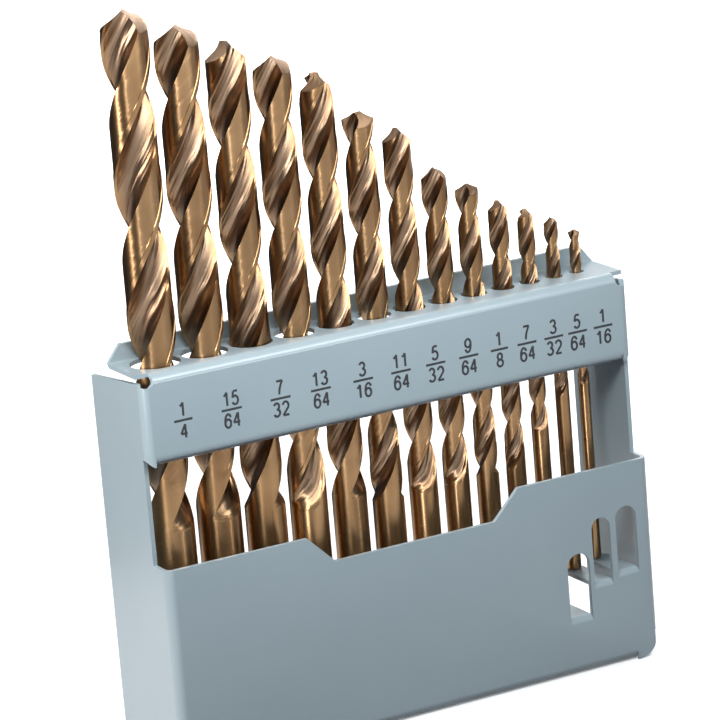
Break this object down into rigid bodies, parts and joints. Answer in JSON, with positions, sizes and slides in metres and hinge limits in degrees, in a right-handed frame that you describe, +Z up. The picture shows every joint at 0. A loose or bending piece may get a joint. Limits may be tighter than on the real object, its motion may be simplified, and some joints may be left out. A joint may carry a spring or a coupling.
{
  "type": "drill bit index rack",
  "caption": "Folded sheet-steel rack holding a row of twist drill bits point up in a punched shelf, over a label band, a window and a notched lower panel with lanced ledge slots.",
  "frame": {"origin": "middle of the rack's footprint on its underside", "axes": "+X along the row from the thickest bit to the thinnest, +Y from the front panel to the open rear, +Z up along the bits"},
  "size_m": [0.075, 0.0176, 0.1022],
  "materials": {
    "rack_paint": "satin enamel over folded steel sheet",
    "bit_steel": "gold-bronze oxide on ground high-speed steel",
    "label_ink": "printed size numbers"
  },
  "bodies": {
    "rack": {"rack": "rack_paint"},
    "bit_1_4": {"bit_1_4": "bit_steel"},
    "bit_15_64": {"bit_15_64": "bit_steel"},
    "bit_7_32": {"bit_7_32": "bit_steel"},
    "bit_13_64": {"bit_13_64": "bit_steel"},
    "bit_3_16": {"bit_3_16": "bit_steel"},
    "bit_11_64": {"bit_11_64": "bit_steel"},
    "bit_5_32": {"bit_5_32": "bit_steel"},
    "bit_9_64": {"bit_9_64": "bit_steel"},
    "bit_1_8": {"bit_1_8": "bit_steel"},
    "bit_7_64": {"bit_7_64": "bit_steel"},
    "bit_3_32": {"bit_3_32": "bit_steel"},
    "bit_5_64": {"bit_5_64": "bit_steel"},
    "bit_1_16": {"bit_1_16": "bit_steel"}
  },
  "joints": [
    {"name": "lift_1_4", "type": "slide", "parent": "rack", "child": "bit_1_4", "axis": [0, 0, 1], "range_m": [0, 0.06]},
    {"name": "lift_15_64", "type": "slide", "parent": "rack", "child": "bit_15_64", "axis": [0, 0, 1], "range_m": [0, 0.06]},
    {"name": "lift_7_32", "type": "slide", "parent": "rack", "child": "bit_7_32", "axis": [0, 0, 1], "range_m": [0, 0.06]},
    {"name": "lift_13_64", "type": "slide", "parent": "rack", "child": "bit_13_64", "axis": [0, 0, 1], "range_m": [0, 0.06]},
    {"name": "lift_3_16", "type": "slide", "parent": "rack", "child": "bit_3_16", "axis": [0, 0, 1], "range_m": [0, 0.06]},
    {"name": "lift_11_64", "type": "slide", "parent": "rack", "child": "bit_11_64", "axis": [0, 0, 1], "range_m": [0, 0.06]},
    {"name": "lift_5_32", "type": "slide", "parent": "rack", "child": "bit_5_32", "axis": [0, 0, 1], "range_m": [0, 0.06]},
    {"name": "lift_9_64", "type": "slide", "parent": "rack", "child": "bit_9_64", "axis": [0, 0, 1], "range_m": [0, 0.06]},
    {"name": "lift_1_8", "type": "slide", "parent": "rack", "child": "bit_1_8", "axis": [0, 0, 1], "range_m": [0, 0.06]},
    {"name": "lift_7_64", "type": "slide", "parent": "rack", "child": "bit_7_64", "axis": [0, 0, 1], "range_m": [0, 0.06]},
    {"name": "lift_3_32", "type": "slide", "parent": "rack", "child": "bit_3_32", "axis": [0, 0, 1], "range_m": [0, 0.0522]},
    {"name": "lift_5_64", "type": "slide", "parent": "rack", "child": "bit_5_64", "axis": [0, 0, 1], "range_m": [0, 0.0478]},
    {"name": "lift_1_16", "type": "slide", "parent": "rack", "child": "bit_1_16", "axis": [0, 0, 1], "range_m": [0, 0.047]}
  ]
}
